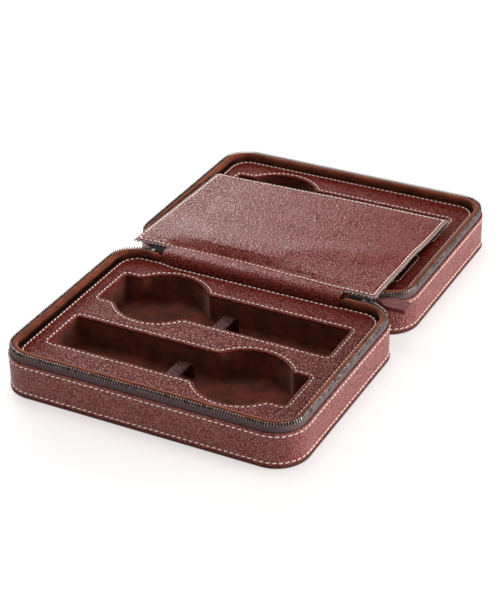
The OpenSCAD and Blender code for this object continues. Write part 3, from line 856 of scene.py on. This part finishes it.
class Builder:
    """Collects points and faces of one closed mesh."""

    def __init__(self):
        self.verts, self.faces = [], []

    def add(self, points):
        """Takes points into the mesh and gives their numbers."""
        start = sum(len(v) for v in self.verts)
        self.verts.append(points)
        return range(start, start + len(points))

    def tube(self, rings):
        """Closed rings of equal length with quads from each to the next. Gives their points' numbers."""
        ids = [self.add(ring) for ring in rings]
        for a, b in zip(ids, ids[1:]):
            self.faces += [(a[j - 1], a[j], b[j], b[j - 1]) for j in range(len(a))]
        return ids

    def patch(self, outer, holes, spacing, ids, height):
        """Fills between flat rings whose points are in the mesh as ids. height gives the rest's Z."""
        flat, faces = fill_between(outer, holes, spacing)
        rest = flat[len(ids):]
        index = [*ids, *self.add(np.column_stack([rest, height(rest)]))]
        self.faces += [tuple(index[i] for i in f) for f in faces]

    def build(self, name, sign):
        obj = face_outward(link_mesh(name, turn_to(np.concatenate(self.verts), sign), self.faces))
        sharpen(obj, 60)
        return obj


def level(z):
    """A height function that is z everywhere."""
    return lambda flat: np.full(len(flat), z)


INSERT_STITCH_IN = 3.1  # from the insert's edge to its row of stitches
POCKET_STITCH_OUT = 2.5  # from a pocket's edge to its row of stitches


def nudged(flat, start, full, by, share):
    """Points near the insert's rear edge moved back by so much, times each one's share. The move
    starts and is complete at these distances from the edge."""
    out = flat.copy()
    out[:, 1] += by * share * smoothstep(flat[:, 1], INSERT_HI.y - start, INSERT_HI.y - full)
    return out


def insert_edge(inset):
    """The insert's outline, taken in by inset from its edge and drawn forward where the hinge lining
    passes behind it."""
    flat = OUTLINE - OUTWARD * (INSERT_IN + inset)
    ease = 1.2
    share = smoothstep(HINGE_HALF + ease - np.abs(flat[:, 0]), 0, ease + inset * 2)
    return nudged(flat, 6, 2, HINGE_SLOT_Y - INSERT_HI.y - 0.25, share)


def insert_height(flat):
    """The insert's face swells a little between its rows of stitches."""
    spots = at_height(flat, 0)
    return INSERT_TOP - 0.05 + 0.12 * ripple(spots, 22, 21) + 0.04 * ripple(spots, 6, 22)


def insert_face(body, sign):
    """Leather face of the insert, turned down round its edge and its pockets."""
    top, low, drop = INSERT_TOP, INSERT_FOOT, 4.0
    edge = [(3.4, low), (3.0, low - drop + 0.5), (2.5, low - drop), (2.0, low - drop + 0.4),
            (1.75, low - 1.5), (1.7, low - 0.4), (1.75, low + 0.4),
            (1.9, top - 0.55), (2.15, top - 0.25), (2.5, top - 0.12), (2.8, top - 0.2),
            (INSERT_STITCH_IN, top - 0.28), (3.4, top - 0.2), (3.8, top - 0.04), (4.6, top)]
    mouth = [(0.3, low), (0.0, low + 0.35), (0.05, top - 0.55), (0.22, top - 0.25), (0.55, top - 0.06),
             (1.1, top), (1.8, top - 0.02), (2.2, top - 0.16), (POCKET_STITCH_OUT, top - 0.24),
             (2.8, top - 0.16), (3.2, top - 0.02), (3.6, top)]
    b = Builder()
    rim = b.tube([at_height(insert_edge(i), z) for i, z in edge])
    mouths = {which: b.tube([at_height(pocket_ring(g, which), z) for g, z in mouth]) for which in POCKET_Y}
    for end, spacing, height in ((-1, 3.2, insert_height), (0, 0, level(low))):
        holes = [pocket_ring(mouth[end][0], which) for which in POCKET_Y]
        ids = [*rim[end], *(i for which in POCKET_Y for i in mouths[which][end])]
        b.patch(insert_edge(edge[end][0]), holes, spacing, ids, height)
    dress(b.build(f"{body}_insert_face", sign), INSERT, body, [f"{body}_insert"])


def insert_stitching(body, sign):
    """Rows of stitches round the insert and round each pocket. The left end of the rear row runs
    closer to the edge."""
    edge = insert_edge(INSERT_STITCH_IN)
    rings = [nudged(edge, 12, 3, 0.9, smoothstep(-edge[:, 0], 50, 66))]
    rings += [pocket_ring(POCKET_STITCH_OUT, which) for which in POCKET_Y]
    rows = [(turn_to(at_height(ring, INSERT_TOP - 0.2), sign), (0, 0, 1), True) for ring in rings]
    sew(f"{body}_insert_stitching", rows, INSERT_STITCH, body)


def pocket_cup(body, sign, which, node):
    """Suede cup that lines one pocket, with a soft bend round its floor."""
    top, bend, outside = INSERT_FOOT, 1.6, LINER_OUT - 0.02
    wall = [(outside, LINER_FOOT), (outside, top - 0.05), (LINER_GAP, top - 0.05), (LINER_GAP, 14.0),
            (LINER_GAP, LINER_FLOOR + bend)]
    wall += [(LINER_GAP - bend * (1 - math.cos(a)), LINER_FLOOR + bend * (1 - math.sin(a)))
             for a in np.radians([25, 45, 65, 90])]
    rings = []
    for g, z in wall:
        flat = pocket_ring(g, which)
        ring = at_height(flat, z)
        if 4 < z < top - 0.1 and g <= LINER_GAP:
            way = unit(flat - np.array([0, POCKET_Y[which]]))
            ring[:, :2] -= way * (0.12 * ripple(ring, 12, 31))[:, None]
        rings.append(ring)

    def floor(flat):
        return LINER_FLOOR + 0.1 * ripple(at_height(flat, 0), 16, 33)

    b = Builder()
    ids = b.tube(rings)
    b.patch(pocket_ring(wall[-1][0], which), [], 4.0, ids[-1], floor)
    b.patch(pocket_ring(wall[0][0], which), [], 0, ids[0], level(LINER_FOOT))
    dress(b.build(f"{node}_suede", sign), POCKET, body, [node])


def keeper_strap(body, sign, which, node):
    """Leather loop over the strap: feet on the pocket's floor, upright sides and a soft top."""
    width, thick, span, high, bend, foot = 8.0, 1.4, 21.0, 10.5, 4.0, 2.2
    half = span / 2 + thick / 2
    path = [(-half - foot, 0), (-half - 0.5, 0), (-half - 0.1, 0.3), (-half, 1.2), (-half, 4.0)]
    path += [(-half + bend * (1 - math.cos(a)), high - bend + bend * math.sin(a))
             for a in np.radians([0, 22, 45, 68, 90])]
    path += [(-half * 0.3, high + 0.1), (0, high + 0.15)]
    path = mirrored(path)
    r = 0.45  # of the strap's rounded edges
    section = [(sx * (width / 2 - r) + r * math.cos(a), sz * (thick / 2 - r) + r * math.sin(a))
               for sx, sz, start in ((1, 1, 0), (-1, 1, 90), (-1, -1, 180), (1, -1, 270))
               for a in np.radians([start + 10, start + 45, start + 80])]
    turn = sign * POCKET_TURN[which]
    y0, z0 = sign * POCKET_Y[which], LINER_FLOOR + thick / 2
    grid = np.array([[(turn * w, y0 + turn * (y + uy * t), z0 + z + uz * t)
                      for (y, z), (uy, uz) in zip(path, left_of(path))] for w, t in section])
    obj = skin(f"{node}_strap", grid, open_run=True)
    smoother = obj.modifiers.new("round", "SUBSURF")
    smoother.levels = smoother.render_levels = 1
    dress(obj, KEEPER, body, [node])


# ---- Halves ----

POCKET_NODES = {"base": {"front": "base_front", "rear": "base_rear"},
                "lid": {"front": "lid_far", "rear": "lid_near"}}
for body, sign in HALVES.items():
    for make in (side_wall, cover, wall_stitching, suede_ring, tape_ring, teeth_chain, insert_face,
                 insert_stitching):
        make(body, sign)
for body, sign in HALVES.items():
    for which, stem in POCKET_NODES[body].items():
        pocket_cup(body, sign, which, f"{stem}_pocket_liner")
        keeper_strap(body, sign, which, f"{stem}_keeper")


def paint(node, mat, round_off=None):
    """Gives a CAD node that stays its finish, and rounds its edges by so many millimetres."""
    obj = NODES[node]
    obj.data.materials.clear()
    obj.data.materials.append(mat)
    if round_off:
        edge = obj.modifiers.new("soft_edges", "BEVEL")
        edge.width = round_off * MM
        edge.segments = 2
        edge.limit_method = "ANGLE"
        edge.angle_limit = math.radians(35)


for body in HALVES:
    paint(f"{body}_floor_board", BOARD)
    paint(f"{body}_wall_board", BOARD)
    paint(f"{body}_foam", FOAM)
    paint(f"{body}_zip_stops", METAL, 0.15)
paint("base_zip_anchor", TAPE, 0.3)
paint("zip_slider", METAL, 0.3)
paint("pull_link", METAL, 0.25)
paint("pull_tab", PULL, 0.3)


# ---- Spine: gusset inside, spine leather outside ----

GUSSET_T = 0.9
GUSSET_X = (GUSSET_MID - HINGE_HALF, GUSSET_MID + HINGE_HALF)
GUSSET_PATH = [(-10.35, 12), (-10.35, 18), (-10.35, 22), (-10.33, 24.2), (-10.15, 25.5), (-9.7, 26.6),
               (-9.0, 27.5), (-8.1, 28.15), (-7.0, 28.55), (-5.8, 28.75), (-4.5, 28.82), (-3.2, 28.82),
               (-2.0, 28.8), (-1.0, 28.72), (0, 28.6), (1.0, 28.42), (2.0, 28.18), (3.1, 27.85), (4.2, 27.5),
               (5.6, 27.05), (6.9, 26.6), (8.05, 26.32), (8.95, 26.07), (9.68, 25.58), (10.15, 24.85),
               (10.35, 23.95), (10.35, 22), (10.35, 18), (10.35, 12)]
GUSSET_TOP = [(y, z) for y, z in GUSSET_PATH if abs(y) < 9.5]
SPINE_T, SPINE_R, SPINE_TOP = 1.1, 3.75, 27.75
SPINE_STITCH_Z = 12.2
TAIL_T, TAIL_LEFT, TAIL_RIGHT = 0.7, -76, -65


def across_spine(name, path, thick, x0, x1, sway, seed):
    """A strip from x0 to x1 along a path of (y, z), thick to the right of the path. Its top sways."""
    xs = np.linspace(x0, x1, int((x1 - x0) / 1.6))
    loop = np.vstack([path, (path - thick * left_of(path))[::-1]])
    inner = smoothstep(np.abs(loop[:, 0]), 10.2, 8.5)
    grid = np.array([[(x, y, z) for x in xs] for y, z in loop])
    lift = sway * ripple(grid.reshape(-1, 3) * [0.5, 1, 0.2], 9, seed).reshape(grid.shape[:2])
    grid[:, :, 2] += lift * inner[:, None]
    obj = skin(name, grid, open_run=True)
    sharpen(obj, 50)
    return obj


def gusset():
    """Leather strip that bridges the halves on the inside, from insert to insert."""
    obj = across_spine("inner_gusset", np.array(GUSSET_PATH, float), GUSSET_T, *GUSSET_X, sway=0.16, seed=41)
    dress(obj, FLAP, None, ["base_hinge_lining", "lid_hinge_lining"])
    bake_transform(obj)


def outer_spine():
    """Leather over the outside of the spine, sewn to the wall of each half."""
    turns = np.radians([0, 10, 20, 30, 40, 50, 60, 70, 75, 80, 85, 90])
    arc = [(-SPINE_R * math.cos(a), SPINE_TOP - SPINE_R * (1 - math.sin(a))) for a in turns]
    path = mirrored([(-SPINE_R, z) for z in (10, 13, 17, 21)] + arc)
    obj = across_spine("outer_spine", path, SPINE_T, -HINGE_HALF, HINGE_HALF, sway=0.0, seed=42)
    dress(obj, SHELL, None, ["base_spine_leather", "lid_spine_leather"])
    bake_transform(obj)
    for body, side in HALVES.items():
        row = [(x, -side * (SPINE_R - SPINE_T - 0.05), SPINE_STITCH_Z)
               for x in np.linspace(-HINGE_HALF + 2, HINGE_HALF - 2, 60)]
        sew(f"{body}_spine_stitching", [(row, (0, side, 0), False)], WALL_STITCH, body)


def zip_tail():
    """End of the zip at the left, where both tapes are folded over together."""
    path = mirrored([(-4.5, 19), (-4.5, 23), (-4.4, 25.2), (-3.9, 26.4), (-2.9, 27.2), (-1.5, 27.6),
                     (0, 27.7)])
    obj = across_spine("zip_tail", path, TAIL_T, TAIL_LEFT, TAIL_RIGHT, sway=0.25, seed=43)
    # A darker copy of the zip tape, as painted shade under the flap.
    dress(obj, SHADED_TAIL)
    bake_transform(obj)


gusset()
outer_spine()
zip_tail()


# ---- Flap ----

FLAP_T = 1.3
FLAP_ROOT_Y = 7.0  # the page swings from here; nearer the spine the flap stays on the seam
MARGIN_BOTTOM = 27.5  # no lower inside the gusset, or it comes out through the spine when the case shuts
FLAP_ROOT_DEPTH = 11.0  # from the near edge to the root where the edge does not bow
FLAP_SEAM_IN = 2.8  # from the pinked edge to its row of stitches
FLAP_STITCH_ROW = 3  # grid line that the stitches follow
EDGE_STEPS = [0, 1.9, 2.3, FLAP_SEAM_IN, 3.3, 4.0]  # grid lines beside a cut edge
ROOT_STEPS = EDGE_STEPS + [5.0, 6.2, 7.4, 8.6, 9.8, FLAP_ROOT_DEPTH]
PAGE_DEPTH = 105  # from the root to the far edge, about
FLAP_SPACING = 1.25  # of the grid lines
NEAR_LEFT, NEAR_RIGHT = -88.0, 79.0
NEAR_Y, NEAR_BOW = -4.0, 7.0
FAR_LEFT, FAR_RIGHT = np.array([-87.8, 107.2]), np.array([79.6, 111.4])
FAR_BOW = 2.2
PINK_DEPTH = 1.5
FLAP_GROOVE = 0.2
MARGIN_STEP = 0.45  # the pinked margin lies this much lower than the page
HOLLOW = 0.22  # how far the cut edge is drawn in between the two leathers


def smooth_curve(x, knots, width):
    """Straight lines through (x, y) knots, rounded off over width."""
    xs, ys = zip(*knots)
    return sum(np.interp(np.asarray(x) + d, xs, ys) for d in np.linspace(-width, width, 9)) / 9


def near_edge_y(x):
    """The near edge bows away from the base in the middle, where it is sewn over the spine."""
    return NEAR_Y + NEAR_BOW * wave(x, -22, 46)


def flap_height(x, y):
    """Height of the flap's upper face. It is sewn to the gusset with its margin tucked in, climbs
    steeply from the seam, then sinks toward its far edge in two shallow waves that fan out to the right."""
    right = np.maximum(x, 0)
    page = smooth_curve(y, [(-8, 29.2), (0, 29.5), (12, 29.9), (60, 28.2), (112, 25.9)], 3)
    fold = 1.9 * smoothstep(x, -95, -40) * (1 - 0.45 * smoothstep(x, 55, 82))
    page = page + fold * wave(y, 21 + 0.42 * right, 13)
    page = page + 0.6 * smoothstep(x, -50, 10) * wave(y, 90 + 0.16 * right, 11)
    curl = 0.5 * smoothstep(-x, 66, 88)
    page = page + curl * smooth_curve(y, [(-4, 1), (20, 0.4), (104, 1.6)], 3)
    spots = np.column_stack([np.ravel(x), np.ravel(y) * 1.25, np.zeros(np.size(x))])
    uneven = 0.28 * ripple(spots, 40, 51) + 0.12 * ripple(spots, 15, 52)
    page = page + smoothstep(y, 10, 34) * uneven.reshape(np.shape(x))
    from_edge = y - near_edge_y(x)
    margin = FLAP_ROOT_DEPTH * from_edge / (FLAP_ROOT_Y - near_edge_y(x))
    tucked = 0.75 * (1 - smoothstep(margin, 1.7, 2.7))
    crown = smooth_curve(y, GUSSET_TOP, 0.3) + 0.3 - tucked
    sewn = smoothstep(HINGE_HALF + 5 - np.abs(x - GUSSET_MID), 0, 9)
    sewn = sewn * (1 - smoothstep(from_edge, 2.9, 9.5))
    return page + sewn * (crown - page)


def flap_lines(length):
    """Distances across the flap, closer together at both edges."""
    last = EDGE_STEPS[-1]
    count = round((length - 2 * last) / FLAP_SPACING)
    middle = np.linspace(last, length - last, count + 1)[1:-1]
    return np.array([*EDGE_STEPS, *middle, *(length - s for s in EDGE_STEPS[::-1])])


def flap_grid():
    """Points of the flap's upper face, (columns, rows, 2), and the row that the page swings from."""
    across = flap_lines(NEAR_RIGHT - NEAR_LEFT)
    root = np.array(ROOT_STEPS) / FLAP_ROOT_DEPTH
    depth = flap_lines(PAGE_DEPTH)[len(EDGE_STEPS):]
    grid = np.zeros((len(across), len(root) + len(depth), 2))
    for column, s in zip(grid, across / across[-1]):
        x = NEAR_LEFT + s * (NEAR_RIGHT - NEAR_LEFT)
        near, start = np.array([x, near_edge_y(x)]), np.array([x, FLAP_ROOT_Y])
        far = FAR_LEFT + s * (FAR_RIGHT - FAR_LEFT) + np.array([0, FAR_BOW * math.sin(math.pi * s)])
        column[:len(root)] = near + (start - near) * root[:, None]
        column[len(root):] = start + (far - start) * (depth / depth[-1])[:, None]
    return grid, len(root) - 1


def notched(count):
    """How deep each grid line along an edge is cut in: every second one, and none at the stitches."""
    from_end = np.minimum(np.arange(count), np.arange(count)[::-1])
    cut = (from_end % 2 == 1) & (from_end != FLAP_STITCH_ROW)
    return PINK_DEPTH * cut * (1 + 0.2 * np.sin(np.arange(count) * 1.7))


def pink(grid):
    """Cuts the notches into the flap's four edges."""
    out = grid.copy()
    for flat, cut in ((grid, out), (grid.swapaxes(0, 1), out.swapaxes(0, 1))):
        for edge, inner in ((0, 1), (-1, -2)):
            inward = unit(flat[inner] - flat[edge])
            cut[edge] = flat[edge] + inward * notched(len(inward))[:, None]
    return out


def edge_distance(grid):
    """Distance of each point from the nearest cut edge, before the edges are pinked."""
    x, y = grid[:, :, 0], grid[:, :, 1]
    return np.min(np.abs([x - x[:1], x - x[-1:], y - y[:, :1], y - y[:, -1:]]), axis=0)


FLAP_GRID, ROOT_ROW = flap_grid()
LAST_COL, LAST_ROW = FLAP_GRID.shape[0] - 1, FLAP_GRID.shape[1] - 1
FLAP_EDGE = edge_distance(FLAP_GRID)
FLAP_CUT = pink(FLAP_GRID)
FLAP_X = FLAP_GRID[:, 0, 0]
LEFT_COL, RIGHT_COL = (int(np.argmin(np.abs(FLAP_X - x))) for x in GUSSET_X)


def flap_faces():
    """Upper and lower face of the flap, (columns, rows, 3), drawn in along the stitches."""
    z = flap_height(FLAP_GRID[:, :, 0], FLAP_GRID[:, :, 1])
    groove = FLAP_GROOVE * wave(FLAP_EDGE, FLAP_SEAM_IN, GROOVE_W)
    step = MARGIN_STEP * smoothstep(FLAP_EDGE, 2.3, 1.9)
    upper = np.dstack([FLAP_CUT, z - groove - step])
    under = z - FLAP_T + groove
    thinned = np.maximum(np.minimum(z - 0.5, MARGIN_BOTTOM) - under, 0)
    under = under + thinned * smoothstep(FLAP_CUT[:, :, 1], 6, 3)
    lower = np.dstack([FLAP_CUT, under])
    return upper, lower


UPPER, LOWER = flap_faces()


def flap_piece(name, cols, rows):
    """One piece of the flap, from column to column and row to row, as a closed mesh."""
    block = slice(cols[0], cols[1] + 1), slice(rows[0], rows[1] + 1)
    m, n = UPPER[block].shape[:2]
    verts = np.vstack([UPPER[block].reshape(-1, 3), LOWER[block].reshape(-1, 3)])
    half = m * n
    quads = [(i, j) for i in range(m - 1) for j in range(n - 1)]
    faces = [(i * n + j, (i + 1) * n + j, (i + 1) * n + j + 1, i * n + j + 1) for i, j in quads]
    faces += [tuple(half + k for k in f[::-1]) for f in faces]
    bare = [k for k, (i, j) in enumerate(quads)
            if cols[0] + i in (0, LAST_COL - 1) or rows[0] + j in (0, LAST_ROW - 1)]
    raw = bare + [len(quads) + k for k in bare]
    rim = [i * n for i in range(m)] + [(m - 1) * n + j for j in range(1, n)]
    rim += [i * n + n - 1 for i in range(m - 2, -1, -1)] + [j for j in range(n - 2, 0, -1)]
    cut = [cols[0] + k // n in (0, LAST_COL) or rows[0] + k % n in (0, LAST_ROW) for k in rim]
    middle = (verts[rim] + verts[[half + k for k in rim]]) / 2
    inward = unit(verts[rim].mean(axis=0)[:2] - middle[:, :2])
    middle[:, :2] += inward * HOLLOW * np.array(cut)[:, None]
    for k, here in enumerate(rim):
        p = (k + 1) % len(rim)
        raw += [len(faces), len(faces) + 1] if cut[k] and cut[p] else []
        faces.append((rim[p], here, 2 * half + k, 2 * half + p))
        faces.append((2 * half + p, 2 * half + k, half + here, half + rim[p]))
    obj = face_outward(link_mesh(name, np.vstack([verts, middle]), faces))
    dress(obj, [FLAP, RAW])
    for index in raw:
        obj.data.polygons[index].material_index = 1
    sharpen(obj, 48)
    return obj


def flap_rows(cols, rows, surface, up):
    """Stitching lines of a piece of the flap on one of its faces. The near edge has none below."""
    stitch = FLAP_STITCH_ROW
    along = slice(max(cols[0], stitch), min(cols[1], LAST_COL - stitch) + 1)
    deep = slice(max(rows[0], stitch), min(rows[1], LAST_ROW - stitch) + 1)
    lines = []
    if rows[0] == 0 and up > 0:
        lines.append(surface[along, stitch])
    if rows[1] == LAST_ROW:
        lines.append(surface[along, LAST_ROW - stitch])
    if cols[0] == 0:
        lines.append(surface[stitch, deep])
    if cols[1] == LAST_COL:
        lines.append(surface[LAST_COL - stitch, deep])
    return [(line, (0, 0, up), False) for line in lines]


def flap_part(name, cols, rows, stand_for=()):
    """A piece of the flap with its stitches: two objects that move together."""
    piece = flap_piece(name, cols, rows)
    if stand_for:
        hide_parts(*stand_for)
    lines = flap_rows(cols, rows, UPPER, 1) + flap_rows(cols, rows, LOWER, -1)
    return piece, sew(f"{name}_stitching", lines, FLAP_STITCH)


def make_flap():
    """The flap in four pieces: its page, the margin sewn over the spine and the two near corners."""
    for obj in flap_part("flap_page", (0, LAST_COL), (ROOT_ROW, LAST_ROW), ("flap_face", "flap_back")):
        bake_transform(obj)
    for obj in flap_part("flap_margin", (LEFT_COL, RIGHT_COL), (0, ROOT_ROW), ("flap_welt",)):
        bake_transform(obj)
    for side, cols, col in (("left", (0, LEFT_COL), LEFT_COL), ("right", (RIGHT_COL, LAST_COL), RIGHT_COL)):
        for obj in flap_part(f"flap_{side}_corner", cols, (0, ROOT_ROW)):
            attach(obj, "lid")
            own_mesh(obj)


make_flap()


# ---- Floor, light and camera ----

FLOOR_GLOW = 0.55
ROOM_LIGHT = 0.44


def area_light(name, place, target, size, power):
    light = bpy.data.lights.new(name, "AREA")
    light.shape = "RECTANGLE"
    light.size, light.size_y = size
    light.energy = power
    obj = bpy.data.objects.new(name, light)
    obj.location = place
    obj.rotation_euler = (Vector(target) - Vector(place)).to_track_quat("-Z", "Y").to_euler()
    bpy.context.scene.collection.objects.link(obj)


def studio():
    """Bright floor in a dim room, with softboxes behind the case, above it and to its right."""
    half = 6.0 / MM
    corners = [(-half, -half, 0), (half, -half, 0), (half, half, 0), (-half, half, 0)]
    floor = link_mesh("floor", corners, [(0, 1, 2, 3)])
    s = Shader("floor", Roughness=0.6, Specular_IOR_Level=0.2, Emission_Color=(1, 0.985, 0.98, 1),
               Emission_Strength=FLOOR_GLOW)
    tone = s.noise(s.place(), 3.0)
    s.link(s.mix(tone, rgb(186, 182, 180), rgb(190, 187, 186)), "Base Color")
    floor.data.materials.append(s.mat)
    floor.location.z = -0.0001  # just under the case, so that no two faces coincide
    world = bpy.data.worlds.new("room")
    bpy.context.scene.world = world
    world.use_nodes = True
    background = world.node_tree.nodes["Background"].inputs
    background["Color"].default_value = (1, 0.98, 0.97, 1)
    background["Strength"].default_value = ROOM_LIGHT
    area_light("back_softbox", (-1.2, 1.25, 0.55), target=(0, 0, 0.03), size=(1.2, 0.8), power=23)
    area_light("top_softbox", (-0.3, 0.3, 1.6), target=(0, 0, 0), size=(1.0, 1.0), power=12)
    area_light("right_softbox", (1.6, 0.6, 0.3), target=(0, 0, 0.02), size=(1.2, 0.5), power=34)
    bpy.context.scene.view_settings.view_transform = "Standard"


def make_camera():
    """Camera at the view that the case is seen from: high, from the front right."""
    target = Vector((-0.11, -13.67, 13.31)) * MM
    azimuth, elevation, roll = (math.radians(degrees) for degrees in (28.17, 30.74, -1.37))
    distance = 1051.2 * MM
    back = Vector((math.sin(azimuth) * math.cos(elevation), -math.cos(azimuth) * math.cos(elevation),
                   math.sin(elevation)))
    data = bpy.data.cameras.new("camera")
    data.sensor_width = 36
    data.lens = 103.4
    cam = bpy.data.objects.new("camera", data)
    level = (-back).to_track_quat("-Z", "Y").to_matrix()
    turned = level @ Matrix.Rotation(roll, 3, "Z")
    cam.matrix_world = Matrix.Translation(target + back * distance) @ turned.to_4x4()
    bpy.context.scene.collection.objects.link(cam)
    bpy.context.scene.camera = cam


studio()
make_camera()
